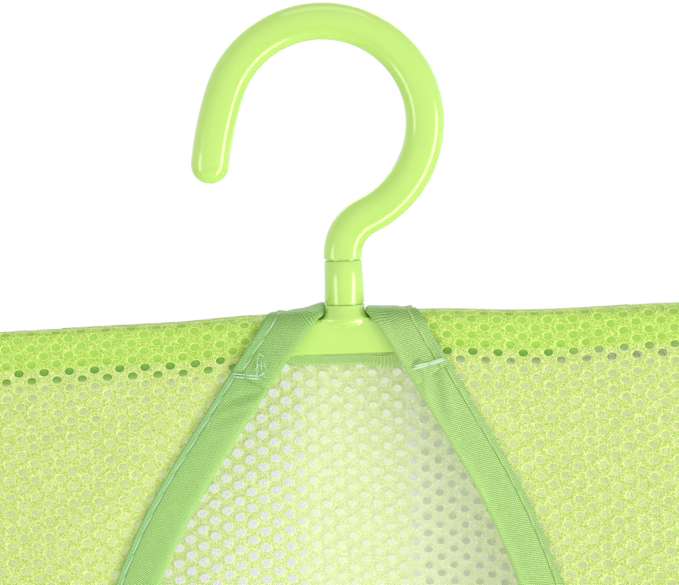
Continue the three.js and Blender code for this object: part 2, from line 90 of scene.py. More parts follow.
class Wire:
    """A socket of a node tree. Arithmetic on it adds Math nodes, and node() adds any other."""

    def __init__(self, tree, socket=None):
        self.tree = tree
        self.socket = socket

    def node(self, kind, settings=None, inputs=None, output=0):
        made = self.tree.nodes.new(kind)
        for name, value in (settings or {}).items():
            setattr(made, name, value)
        for name, value in (inputs or {}).items():
            if isinstance(value, Wire):
                self.tree.links.new(value.socket, made.inputs[name])
            else:
                made.inputs[name].default_value = value
        return Wire(self.tree, made.outputs[output])

    def maths(self, operation, *values):
        return self.node("ShaderNodeMath", {"operation": operation}, dict(enumerate(values)))

    def __add__(self, other):
        return self.maths("ADD", self, other)

    def __radd__(self, other):
        return self.maths("ADD", other, self)

    def __sub__(self, other):
        return self.maths("SUBTRACT", self, other)

    def __rsub__(self, other):
        return self.maths("SUBTRACT", other, self)

    def __mul__(self, other):
        return self.maths("MULTIPLY", self, other)

    def __rmul__(self, other):
        return self.maths("MULTIPLY", other, self)

    def mix(self, low, high):
        """A colour from low to high as this share goes from 0 to 1."""
        return self.node("ShaderNodeMix", {"data_type": "RGBA"}, {0: self, 6: low, 7: high}, 2)

    def spread(self, start, end, low=0.0, high=1.0):
        """Low where this value is at start, high where it is at end, and no further."""
        return self.node("ShaderNodeMapRange", inputs={0: self, 1: start, 2: end, 3: low, 4: high})

    def noise(self, scale, detail=2.0, output=0):
        clouds = {"Vector": self, "Scale": scale, "Detail": detail}
        return self.node("ShaderNodeTexNoise", inputs=clouds, output=output)

    def cracks(self, scale):
        """The distance to the nearest edge of a pattern of cells."""
        return self.node(
            "ShaderNodeTexVoronoi", {"feature": "DISTANCE_TO_EDGE"}, {"Vector": self, "Scale": scale},
        )

    def part(self, axis):
        return self.node("ShaderNodeSeparateXYZ", inputs={0: self}, output=axis)

    def attribute(self, name):
        return self.node("ShaderNodeAttribute", {"attribute_name": name}, output="Fac")

    def bump(self, strength, distance):
        relief = {"Height": self, "Strength": strength, "Distance": distance}
        return self.node("ShaderNodeBump", inputs=relief)

    def into(self, node, name):
        self.tree.links.new(self.socket, node.inputs[name])


def paint(red, green, blue):
    """A colour as a screen shows it, from 0 to 255, for a material."""
    shares = (value / 255 for value in (red, green, blue))
    return (*(s / 12.92 if s < 0.04045 else ((s + 0.055) / 1.055) ** 2.4 for s in shares), 1)


def new_material(name, fixed):
    """A material with fixed shader settings: itself, its shader and the place on its object."""
    material = bpy.data.materials.new(name)
    material.use_nodes = True
    surface = material.node_tree.nodes["Principled BSDF"]
    for socket, value in fixed.items():
        surface.inputs[socket].default_value = value
    return material, surface, Wire(material.node_tree).node("ShaderNodeTexCoord", output="Object")


world = bpy.data.worlds.new("studio")
world.use_nodes = True
scene.world = world
air = Wire(world.node_tree)
seen = air.node("ShaderNodeLightPath", output="Is Camera Ray")
seen = seen + air.node("ShaderNodeLightPath", output="Is Glossy Ray")
seen = seen + air.node("ShaderNodeLightPath", output="Is Transmission Ray")
white = seen.maths("MINIMUM", seen, 1)
(0.66 + white * 0.34).into(world.node_tree.nodes["Background"], "Strength")
world.node_tree.nodes["Background"].inputs["Color"].default_value = (1, 1, 1, 1)

floor_drop = 1.05
floor_reach = 4
floor_sheet = bmesh.new()
bmesh.ops.create_circle(
    floor_sheet, cap_ends=True, segments=96, radius=floor_reach,
    matrix=Matrix.Translation((0, 0, -floor_drop)),
)
floor_mesh = bpy.data.meshes.new("floor")
floor_sheet.to_mesh(floor_mesh)
floor_sheet.free()
floor_look = {"Roughness": 0.8, "Emission Strength": 1}
floor_paint, floor_surface, ground = new_material("pale_floor", floor_look)
ground.noise(6.0).mix(paint(238, 239, 238), paint(244, 245, 244)).into(floor_surface, "Base Color")
ground_seen = ground.node("ShaderNodeLightPath", output="Is Camera Ray")
ground_seen.mix(paint(0, 0, 0), paint(161, 161, 161)).into(floor_surface, "Emission Color")
floor_mesh.materials.append(floor_paint)
floor = bpy.data.objects.new("floor", floor_mesh)
scene.collection.objects.link(floor)

# The hook: one glossy lime polypropylene moulding, a round rod bent to a hook with a tapered
# collar at its foot. Below the collar a stem with a snap barb turns in the hanger's neck.
rod_radius = 4.25 * mm
seat_radius = 18.45 * mm
hook_setback = 3.45 * mm
reverse_bend = 9.8 * mm
tail_radius = 75 * mm
tail_start = math.radians(160)
tail_turn = 16.6 / 75
collar_lead = 0.5 * mm
collar_height = 10 * mm
collar_top = 4.15 * mm
collar_bottom = 4.4 * mm
rod_sides = 48
rod_squareness = 2.5
cap_steps = 8
quarter = math.pi / 2

loop_radius = seat_radius + rod_radius
loop_z = -math.sqrt(seat_radius ** 2 - hook_setback ** 2)
reverse_start = math.acos((hook_setback + reverse_bend) / (loop_radius + reverse_bend))
bend_end_z = loop_z - (loop_radius + reverse_bend) * math.sin(reverse_start)
collar_top_z = bend_end_z - collar_lead
collar_bottom_z = collar_top_z - collar_height


def lime_plastic():
    """Glossy lime plastic with the faint flow waves and dust marks of a moulding."""
    material, surface, place = new_material("lime_plastic", {"IOR": 1.49, "Specular IOR Level": 1})
    cloud = place.noise(60.0, 3.0)
    grain = place.noise(900.0, 2.0)
    wave = place.noise(130.0, 1.0)
    cloud.mix(paint(186, 227, 103), paint(193, 234, 112)).into(surface, "Base Color")
    (0.09 + cloud * 0.06 + grain * 0.05).into(surface, "Roughness")
    (wave + grain * 0.06).bump(0.1, 0.4 * mm).into(surface, "Normal")
    return material


def make_piece(name, shape, material, body, sharp=None, face_out=True):
    """Turns a bmesh into an object that rides on a body, smooth but for edges past a sharp angle."""
    if face_out:
        bmesh.ops.recalc_face_normals(shape, faces=shape.faces)
    mesh = bpy.data.meshes.new(name)
    shape.to_mesh(mesh)
    shape.free()
    mesh.shade_smooth()
    if sharp:
        mesh.set_sharp_from_angle(angle=math.radians(sharp))
    mesh.materials.append(material)
    piece = bpy.data.objects.new(name, mesh)
    scene.collection.objects.link(piece)
    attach(piece, body)
    return piece


def verts_in(geom):
    """The vertices among what an operator gives back."""
    return [g for g in geom if isinstance(g, bmesh.types.BMVert)]


def open_edges(geom):
    """The edges that have a face on one side only."""
    return [g for g in geom if isinstance(g, bmesh.types.BMEdge) and g.is_boundary]


def ends_of(edges):
    """The vertices of some edges, each once and always in the same order."""
    return list(dict.fromkeys(v for edge in edges for v in edge.verts))


def edges_of(faces):
    """The edges of some faces, each once and always in the same order."""
    return list(dict.fromkeys(e for face in faces for e in face.edges))


def spun(shape, profile, sides=48):
    """Spins a profile of (radius, height) about the swivel axis and closes its poles."""
    verts = [shape.verts.new((radius, 0, height)) for radius, height in profile]
    edges = [shape.edges.new(pair) for pair in zip(verts, verts[1:])]
    bmesh.ops.spin(
        shape, geom=verts + edges, axis=(0, 0, 1), cent=(0, 0, 0), angle=2 * math.pi,
        steps=sides, use_merge=True,
    )
    poles = [v for v in shape.verts if v.is_valid and abs(v.co.x) < 1e-7 and abs(v.co.y) < 1e-7]
    bmesh.ops.remove_doubles(shape, verts=poles, dist=1e-7)


lime = lime_plastic()
hook_shape = bmesh.new()
bmesh.ops.create_circle(
    hook_shape, segments=rod_sides, radius=rod_radius,
    matrix=Matrix.Translation((0, 0, collar_top_z)),
)
for vert in hook_shape.verts:
    shares = [abs(part / rod_radius) ** rod_squareness for part in vert.co.xy]
    vert.co.xy = vert.co.xy * sum(shares) ** (-1 / rod_squareness)
tail_reach = loop_radius - tail_radius
tail_way = Vector((math.cos(tail_start), 0, math.sin(tail_start)))
loop_centre = Vector((-hook_setback, 0, loop_z))
bends = [
    (Vector((reverse_bend, 0, bend_end_z)), reverse_start, 14),
    (loop_centre, -(tail_start + reverse_start), 64),
    (loop_centre + tail_way * tail_reach, -tail_turn, 6),
]
rim = list(hook_shape.edges)
straight = bmesh.ops.extrude_edge_only(hook_shape, edges=rim)["geom"]
bmesh.ops.translate(hook_shape, verts=verts_in(straight), vec=(0, 0, collar_lead))
rim = open_edges(straight)
for centre, angle, steps in bends:
    swept = bmesh.ops.spin(
        hook_shape, geom=rim + ends_of(rim), axis=(0, 1, 0), cent=centre, angle=angle, steps=steps,
    )["geom_last"]
    rim = open_edges(swept)
tip = sum((v.co for v in ends_of(rim)), Vector()) / rod_sides
tip_angle = tail_start + tail_turn
tip_way = Vector((-math.sin(tip_angle), 0, math.cos(tip_angle)))
for step in range(1, cap_steps + 1):
    before = quarter * (step - 1) / cap_steps
    angle = quarter * step / cap_steps
    grown = bmesh.ops.extrude_edge_only(hook_shape, edges=rim)["geom"]
    ring = verts_in(grown)
    shrink = max(math.cos(angle), 0) / math.cos(before)
    here = tip + tip_way * rod_radius * math.sin(before)
    bmesh.ops.scale(hook_shape, verts=ring, vec=(shrink,) * 3, space=Matrix.Translation(-here))
    bmesh.ops.translate(
        hook_shape, verts=ring, vec=tip_way * rod_radius * (math.sin(angle) - math.sin(before)),
    )
    rim = open_edges(grown)
bmesh.ops.remove_doubles(hook_shape, verts=ring, dist=1e-6)
bmesh.ops.holes_fill(hook_shape, edges=open_edges(hook_shape.edges), sides=0)

edge_soft = 0.22 * mm
groove_height = 0.5 * mm
groove_depth = 0.5 * mm
spigot_radius = 4.1 * mm
spigot_height = 0.22 * mm
stem_radius = 2 * mm
barb_radius = 2.7 * mm
barb_top_z = -63.6 * mm
barb_height = 2.1 * mm
spun(hook_shape, [
    (0, barb_top_z - barb_height),
    (barb_radius * 0.4, barb_top_z - barb_height),
    (barb_radius, barb_top_z - barb_height * 0.25),
    (barb_radius, barb_top_z),
    (stem_radius, barb_top_z),
    (stem_radius, collar_bottom_z - spigot_height),
    (spigot_radius, collar_bottom_z - spigot_height),
    (spigot_radius, collar_bottom_z),
    (collar_bottom - edge_soft, collar_bottom_z),
    (collar_bottom - edge_soft * 0.3, collar_bottom_z + edge_soft * 0.3),
    (collar_bottom, collar_bottom_z + edge_soft),
    (collar_top, collar_top_z - groove_height - edge_soft),
    (collar_top - edge_soft * 0.3, collar_top_z - groove_height - edge_soft * 0.3),
    (collar_top - edge_soft, collar_top_z - groove_height),
    (collar_top - groove_depth, collar_top_z - groove_height),
    (collar_top - groove_depth, collar_top_z + collar_lead),
    (0, collar_top_z + collar_lead),
])
hook = make_piece("hook_moulding", hook_shape, lime, "hook", sharp=42)
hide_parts("hook")

# The hanger: one lime moulding, a straight bar open at the back with cross ribs. Its neck
# flares into the bar's top, and a low round boss runs down the front face under it.
bar_length = 300 * mm
bar_height = 7.8 * mm
bar_depth = 7.6 * mm
half_depth = bar_depth / 2
bar_wall = 1.7 * mm
bar_edge = 1 * mm
arm_start = 8 * mm
arm_slope = math.radians(1)
rib_pitch = 23.72 * mm
rib_thickness = 1.4 * mm
rib_count = 5
rib_sunk = bar_wall * 0.8
socket_reach = 5.2 * mm
socket_room = 3 * mm
neck_radius = 4.4 * mm
neck_fillet = 2 * mm
neck_top_z = collar_bottom_z - 0.3 * mm
bar_top_z = neck_top_z - 3 * mm
end_round = bar_height / 2 * 0.99
flare_half = half_depth * 0.985
flare_steps = 8
boss_radius = 5 * mm
boss_drop = 2.4 * mm
boss_foot = 4 * mm
boss_blend = 1.8 * mm
boss_wall = 0.6 * mm
sunk_skin = 0.02 * mm
stem_room = 0.3 * mm


def slab(shape, low, high):
    """A block between two corners."""
    size = Vector(high) - Vector(low)
    middle = (Vector(high) + Vector(low)) / 2
    matrix = Matrix.Translation(middle) @ Matrix.Diagonal((*size, 1))
    bmesh.ops.create_cube(shape, size=1, matrix=matrix)


def cut(shape, place, way, clear):
    """Divides a shape along a plane, and clears what lies beyond it if asked to."""
    bmesh.ops.bisect_plane(
        shape, geom=shape.verts[:] + shape.edges[:] + shape.faces[:],
        plane_co=place, plane_no=way, clear_outer=clear,
    )


def arm_fall(x):
    """Both arms fall away a little from the level middle."""
    return math.tan(arm_slope) * max(0, abs(x) - arm_start)


hanger_shape = bmesh.new()
bar_low = (-bar_length / 2, -half_depth, bar_top_z - bar_height)
bar_high = (bar_length / 2, half_depth, bar_top_z)
slab(hanger_shape, bar_low, bar_high)
bmesh.ops.bevel(
    hanger_shape,
    geom=[e for e in hanger_shape.edges if abs(e.verts[0].co.y - e.verts[1].co.y) > half_depth],
    offset=end_round, affect="EDGES", segments=12, profile=0.5, material=-1,
)
front_and_back = [f for f in hanger_shape.faces if abs(f.normal.y) > 0.9]
bmesh.ops.bevel(
    hanger_shape, geom=edges_of(front_and_back), offset=bar_edge,
    affect="EDGES", segments=5, profile=0.5, material=-1,
)
back_face = max(hanger_shape.faces, key=lambda f: f.calc_center_median().y + f.calc_area())
bmesh.ops.inset_region(hanger_shape, faces=[back_face], thickness=bar_wall - bar_edge)
sunk = bmesh.ops.extrude_face_region(hanger_shape, geom=[back_face])["geom"]
hanger_shape.faces.remove(back_face)
bmesh.ops.translate(hanger_shape, verts=verts_in(sunk), vec=(0, bar_wall - bar_depth, 0))
rib_low = bar_top_z - bar_height + rib_sunk
rib_high = bar_top_z - rib_sunk
walls = [(socket_room, socket_reach)]
walls += [
    (socket_reach + rib_pitch * (rib + 1) - rib_thickness, socket_reach + rib_pitch * (rib + 1))
    for rib in range(rib_count)
]
for near, far in walls:
    for low_x, high_x in ((near, far), (-far, -near)):
        slab(hanger_shape, (low_x, -half_depth + rib_sunk, rib_low), (high_x, half_depth, rib_high))

flare = bmesh.new()
fillet = []
for step in range(flare_steps + 1):
    angle = quarter * step / flare_steps
    fillet.append((
        neck_radius + neck_fillet * (1 - math.cos(angle)),
        bar_top_z + neck_fillet * (1 - math.sin(angle)),
    ))
flare_low = bar_top_z - bar_wall / 2
spun(flare, [
    (0, flare_low),
    (neck_radius + neck_fillet, flare_low),
    *reversed(fillet),
    (0, bar_top_z + neck_fillet),
])
for side in (-1, 1):
    cut(flare, (0, side * flare_half, 0), (0, side, 0), True)
    bmesh.ops.holes_fill(flare, edges=open_edges(flare.edges), sides=0)

boss = bmesh.new()
bmesh.ops.create_grid(boss, x_segments=44, y_segments=40, size=0.5)
for vert in boss.verts:
    z = bar_top_z - boss_foot + (vert.co.y + 0.5) * (boss_foot + neck_fillet)
    over = max(z - bar_top_z, 0)
    under = min(max(bar_top_z - z, 0), boss_drop)
    half = neck_radius + neck_fillet - math.sqrt(neck_fillet ** 2 - (neck_fillet - over) ** 2)
    round_radius = boss_radius + (neck_radius - boss_radius) * over / neck_fillet
    round_radius *= math.sqrt(1 - (under / boss_drop) ** 2)
    x = vert.co.x * 2 * half
    face = -min(half_depth, math.sqrt(max(half ** 2 - x ** 2, 0)))
    dome = -math.sqrt(max(round_radius ** 2 - x ** 2, 0))
    blend = boss_blend * (1 - over / neck_fillet) + 0.01 * mm
    near = max(blend - abs(face - dome), 0) / blend
    vert.co = (x, min(face, dome) - near ** 2 * blend / 4 + sunk_skin, z)
wall_behind = bmesh.ops.extrude_face_region(boss, geom=boss.faces[:])["geom"]
bmesh.ops.translate(boss, verts=verts_in(wall_behind), vec=(0, boss_wall, 0))

neck = bmesh.new()
spun(neck, [
    (0, bar_top_z - bar_wall),
    (neck_radius, bar_top_z - bar_wall),
    (neck_radius, neck_top_z - edge_soft),
    (neck_radius - edge_soft * 0.3, neck_top_z - edge_soft * 0.3),
    (neck_radius - edge_soft, neck_top_z),
    (stem_radius + stem_room, neck_top_z),
    (stem_radius + stem_room, bar_top_z),
    (0, bar_top_z),
], 64)
for part in (flare, boss, neck):
    bmesh.ops.recalc_face_normals(part, faces=part.faces)
    spare = bpy.data.meshes.new("spare")
    part.to_mesh(spare)
    part.free()
    hanger_shape.from_mesh(spare)
    bpy.data.meshes.remove(spare)
for side in (-1, 1):
    cut(hanger_shape, (side * arm_start, 0, 0), (side, 0, 0), False)
for vert in hanger_shape.verts:
    vert.co.z -= arm_fall(vert.co.x)
hanger = make_piece("hanger_moulding", hanger_shape, lime, "bag", sharp=42)
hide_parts("hanger")

# The net: knitted polyester with oval holes, in staggered columns, cut as two panels that hang
# from the fold over the bar. Each panel is a brick grid of cells, every cell a ring of yarn.
tape_width = 9.3 * mm
bag_top_width = 338 * mm
bag_flare = 12 * mm
bag_drop = 378 * mm
front_belly = 24 * mm
back_belly = 15 * mm
belly_top = 0.62
belly_foot = 0.34
bottom_ease = 70 * mm
bar_end_ease = 8 * mm
fold_depth = 1.5 * mm
fold_pitch = 88 * mm
net_rise = 1.25 * mm
net_settled = 0.65 * mm
settle_start = 21 * mm
settle_run = 18 * mm
wrinkle_start = 42 * mm
wrinkle_end = 118 * mm
wrinkle_run = 34 * mm
wrinkle_rise = 1 * mm
net_top_z = bar_top_z + net_rise
net_half_depth = half_depth + net_rise
net_corner = bar_edge + net_rise
seam_half = 0.55 * mm
fold_run = net_half_depth - net_corner + net_corner * quarter
column_pitch = 2.8 * mm
hole_pitch = 3.67 * mm
hole_half_width = 1.17 * mm
hole_half_height = 0.9 * mm
side_lean = 0.42 * mm
rim_swell = 1.36
bar_foot_drop = fold_run + bar_height
bar_shade_drop = bar_foot_drop + 0.5 * mm
bar_shade_run = 4.5 * mm
under_bar_start = bar_foot_drop - 2.8 * mm
under_bar_end = bar_shade_drop + 1.6 * mm
rim_sink = 0.16 * mm
first_inset = 0.1 * mm
yarn_wander = 0.6 * mm
least_cover = 0.02
fold_gap = 0.02 * mm
fine_drop = 76 * mm
mouth_fade = 14 * mm
foot_fade = 12 * mm


def smooth(share):
    """Eases a share between 0 and 1, and holds it there."""
    share = min(max(share, 0), 1)
    return share * share * (3 - 2 * share)


def drop_at(z):
    """The way down the cloth from the fold to a level below the bar's top."""
    return fold_run + net_top_z - net_corner - z


def half_width_at(down):
    return (bag_top_width + bag_flare * down / bag_drop) / 2


def rise_at(x):
    """The cloth lies on the bar, but stands off it by a leaf of tape at the neck and in a wrinkle."""
    wrinkle = smooth((x - wrinkle_start) / wrinkle_run) * smooth((wrinkle_end - x) / wrinkle_run)
    settled = (net_settled - net_rise) * smooth((abs(x) - settle_start) / settle_run)
    return net_rise + settled + wrinkle_rise * wrinkle


def stand_off(x, drop):
    """How far the cloth's middle stands off the seam plane."""
    down = abs(drop)
    half = half_width_at(down) - tape_width
    above_foot = bag_drop - down - tape_width
    bar_part = smooth((half - abs(x)) / bar_end_ease) * smooth(above_foot / bottom_ease)
    belly = front_belly if drop > 0 else back_belly
    across = max(0, 1 - (x / half) ** 2)
    below = min(max((down - net_half_depth - bar_height) / bag_drop, 0), 1)
    fall = smooth(below / belly_top) * smooth(above_foot / (bag_drop * belly_foot))
    folds = fold_depth * math.cos(2 * math.pi * (x + fold_pitch * below) / fold_pitch)
    on_bar = half_depth + rise_at(x) - seam_half
    return seam_half + on_bar * bar_part + (belly + folds * across) * across * fall


def cloth_point(x, drop):
    """A place on the bag: x across, and drop down from the fold, which is negative behind."""
    down = abs(drop)
    reach = stand_off(x, drop)
    rise = rise_at(x)
    corner = min(bar_edge + rise, reach)
    flat = min(half_depth + rise, reach) - corner
    bend = corner * quarter
    side = -1 if drop > 0 else 1
    top_z = net_top_z - (net_rise - rise + arm_fall(x)) * (1 - down / bag_drop)
    if down <= flat:
        return Vector((x, side * down, top_z))
    if down <= flat + bend:
        angle = (down - flat) / corner
        reach = flat + corner * math.sin(angle)
        return Vector((x, side * reach, top_z - corner * (1 - math.cos(angle))))
    return Vector((x, side * reach, top_z - corner - (down - flat - bend)))


def off_cloth(x, drop, height):
    """A place that stands off the bag's surface by height, outwards where it is positive."""
    step = 0.075 * mm
    across_way = cloth_point(x + step, drop) - cloth_point(x - step, drop)
    down_way = cloth_point(x, drop + step) - cloth_point(x, drop - step)
    normal = across_way.cross(down_way).normalized()
    return cloth_point(x, drop) - normal * height


# The mouth's edge runs behind the neck, over both shoulders and down round the oval, and is
# drawn in the cloth's own plane at the middle of the tape that binds it.
tape_half = tape_width / 2
neck_tape_drop = 6.4 * mm
neck_tape_bend = 5.6 * mm
shoulder_bend = 8 * mm
mouth_slant = math.radians(32.4)
mouth_side = 134 * mm
mouth_hip = 80 * mm
mouth_foot = 40 * mm
mouth_half_width = 52.5 * mm
mouth_lean = 4.5 * mm
tack_drop = 11.6 * mm
path_step = 0.6 * mm

foot_angle = math.asin((mouth_hip - mouth_half_width) / (mouth_hip - mouth_foot))
seam_x = tape_half + neck_tape_bend
slant_x = seam_x + shoulder_bend * (1 - math.cos(mouth_slant))
hip_x = mouth_half_width - mouth_side * (1 - math.cos(mouth_slant))
slant_run = (hip_x - slant_x) / math.sin(mouth_slant)
tack_run = drop_at(bar_top_z - tack_drop) - shoulder_bend * math.sin(mouth_slant)
tack_run /= math.cos(mouth_slant)
neck_back_drop = drop_at(bar_top_z - neck_tape_drop)


def walk(start, stretches):
    """Follows straight and curved stretches, each (run, turn), from a spot (x, drop, heading)."""
    spots = [start]
    for run, turn in stretches:
        count = max(1, round(run / path_step))
        bend = turn / count
        chord = 2 * (run / turn) * math.sin(bend / 2) if bend else run / count
        for _ in range(count):
            x, drop, heading = spots[-1]
            way = heading + bend / 2
            spots.append((x + chord * math.cos(way), drop + chord * math.sin(way), heading + bend))
    return spots


def mirrored(spots):
    return [(-x, drop, -heading) for x, drop, heading in reversed(spots)]


def beside(spot, across):
    """The place beside a spot, towards the inside of the mouth."""
    x, drop, heading = spot
    return x - across * math.sin(heading), drop + across * math.cos(heading)


neck_spots = walk((0, -neck_back_drop, 0), [
    (tape_half, 0),
    (neck_tape_bend * quarter, quarter),
    (neck_back_drop - neck_tape_bend, 0),
    (shoulder_bend * mouth_slant, -mouth_slant),
    (tack_run, 0),
])
mouth_spots = walk(neck_spots[-1], [
    (slant_run - tack_run, 0),
    (mouth_side * mouth_slant, mouth_slant),
    (mouth_hip * (quarter - foot_angle), quarter - foot_angle),
    (mouth_foot * foot_angle, foot_angle),
])
foot_drop = mouth_spots[-1][1]


def leaned(spots):
    """The oval hangs a little to the left between the neck and its foot."""
    return [
        (x - mouth_lean * math.sin(math.pi * max(0, drop) / foot_drop), drop, heading)
        for x, drop, heading in spots
    ]


net_edge_inset = 1.7 * mm
right_edge = neck_spots + mouth_spots[1:]
edge_drops = [drop for _, drop, _ in right_edge]
round_mouth = leaned(right_edge + mirrored(right_edge)[1:])[::3]
mouth_outline = [beside(spot, net_edge_inset) for spot in round_mouth]


def in_mouth(x, drop):
    """True if a place in the cloth's plane is inside the cut, by counting the edges it crosses."""
    inside = False
    for (x1, d1), (x2, d2) in zip(mouth_outline, mouth_outline[1:] + mouth_outline[:1]):
        if (d1 > drop) != (d2 > drop) and x < (x2 - x1) * (drop - d1) / (d2 - d1) + x1:
            inside = not inside
    return inside


def net_material():
    """Pale yellow-green yarn: fine bright filaments with tiny gaps and a bright rim round each hole,
    greener over the lime bar as painted light from the bar, and paler round the mouth as painted
    light from behind shining through the yarn."""
    material, surface, place = new_material("net_yarn", {"Sheen Weight": 0.1, "Sheen Roughness": 0.5})
    wander = place.noise(1100.0, output="Color")
    bent = place.node(
        "ShaderNodeVectorMath", {"operation": "MULTIPLY_ADD"},
        {0: wander, 1: (yarn_wander,) * 3, 2: place},
    )
    strand = bent.cracks(1500.0).spread(0.02, 0.2, 1.0, 0.0)
    cover = bent.cracks(3300.0).spread(0.14, 0.3, 1.0, 0.3)
    cloud = place.noise(320.0, 3.0)
    rim = place.attribute("rim").spread(0.45, 0.8)
    bright = cloud.mix(paint(218, 238, 138), paint(234, 247, 170))
    knitted = (0.08 + strand * 0.92).mix(paint(180, 208, 80), bright)
    # Painted light: over the bar the yarn takes the green of the lime bar shining through it.
    over_bar = strand.mix(paint(170, 215, 56), paint(210, 243, 112))
    bar_lit = (place.attribute("bar_light") * 0.75).mix(knitted, over_bar)
    rimmed = (rim * 0.8).mix(bar_lit, paint(238, 252, 172))
    # Painted light: paler round the mouth, where light from behind shines through the back panel.
    place.attribute("pale").mix(rimmed, paint(238, 244, 204)).into(surface, "Base Color")
    (0.62 + cloud * 0.2).into(surface, "Roughness")
    rim.maths("MINIMUM", 1, rim.maths("MAXIMUM", cover, rim * 1.6 - 0.3)).into(surface, "Alpha")
    strand.bump(0.5, 0.12 * mm).into(surface, "Normal")
    return material


def float_material():
    """Fine loose filaments that cross the holes, sheer where the cloth is taut. Where few cross they
    are grey, a painted shade of what lies behind; green over the lime bar, its painted light; dark in
    the rows under the bar, a painted shadow; and duller in the mouth, a painted shade."""
    material, surface, place = new_material("net_floats", {"Sheen Weight": 0.1})
    gaps = place.cracks(2600.0)
    cover = place.attribute("cover")
    # Painted shade and light: grey at low cover for the shaded backdrop behind, the bar's green for
    # its light, a dull grey in the mouth and dark green under the bar for shade.
    lit_and_shaded = cover.mix(paint(180, 196, 156), paint(236, 248, 152))
    lit_and_shaded = place.attribute("bar_light").mix(lit_and_shaded, paint(190, 242, 84))
    lit_and_shaded = place.attribute("dull").mix(lit_and_shaded, paint(160, 174, 146))
    place.attribute("shade").mix(lit_and_shaded, paint(88, 150, 2)).into(surface, "Base Color")
    fuzz = gaps.spread(0.05, 0.3, 0.35, -0.35)
    sheer = cover.maths("MAXIMUM", 0, cover + fuzz * cover)
    sheer.maths("MINIMUM", 1, sheer).into(surface, "Alpha")
    (0.7 + gaps * 0.2).into(surface, "Roughness")
    return material


def patchy(x, down, reach):
    """An irregular share from 0 to 1 that changes over a reach of the cloth."""
    return smooth(0.5 + 0.9 * noise.noise(Vector((x, down, 0)) / reach))


def under_bar(x, down):
    """A painted shadow for the first rows of holes under the bar, and fewer of them to the right."""
    far = 1 - 0.8 * smooth((x - 46 * mm) / (14 * mm))
    end = under_bar_end - 0.9 * mm * smooth(x / (20 * mm))
    return far * smooth((down - under_bar_start) / (1 * mm)) * smooth((end - down) / (1.5 * mm))


def near_mouth(x, down):
    """1 across the mouth, fading out in the cloth round it."""
    wide = right_edge[min(bisect_right(edge_drops, down), len(right_edge) - 1)][0]
    fade = smooth((wide + mouth_fade - abs(x)) / mouth_fade)
    return fade * smooth((foot_drop + foot_fade - down) / foot_fade)


def left_of_mouth(x):
    """The left of the mouth shows one taut layer against the light."""
    return 1 - smooth((x + 16 * mm) / (9 * mm))


def float_cover(x, down, side):
    """How much of a hole the floats fill: most where the cloth is slack, none where it is taut."""
    fold = 0.85 * smooth((3 * mm - down) / (1.2 * mm))
    if side > 0:
        slack = smooth((down - bar_shade_drop + 0.4 * mm) / (2.6 * mm))
        # Over the bar the floats carry the bar's painted green light, and in the rows under it a dark
        # painted shadow.
        on_bar = 0.45 * smooth((bar_foot_drop - 1 * mm - down) / (1.5 * mm))
        stray = 0.6 * patchy(x, down, 3.4 * mm) + 0.4 * patchy(x, down, 11 * mm)
        return max(fold, on_bar, 0.85 * under_bar(x, down), slack * (0.5 + 0.16 * stray))
    # In and round the mouth the back panel's floats stand for stray filaments, and their grey is a
    # painted shade of what lies behind.
    seen = 0.5 - 0.16 * left_of_mouth(x) + 0.22 * smooth((x - 13 * mm) / (5 * mm))
    if in_mouth(x, down):
        return seen
    around = (0.72 + (seen - 0.72) * near_mouth(x, down)) * smooth((down - 3 * mm) / (2 * mm))
    return max(fold, around)


def openness(x, down, side):
    """No two holes are quite alike, and where the back panel hangs slack its holes close a little."""
    if side > 0:
        return 0.91 + 0.08 * patchy(x, down, 3.1 * mm)
    slack = smooth((x + 14 * mm) / (8 * mm)) * (0.8 + 0.2 * math.sin(x / (3.7 * mm) + 1))
    return 1 - 0.24 * slack


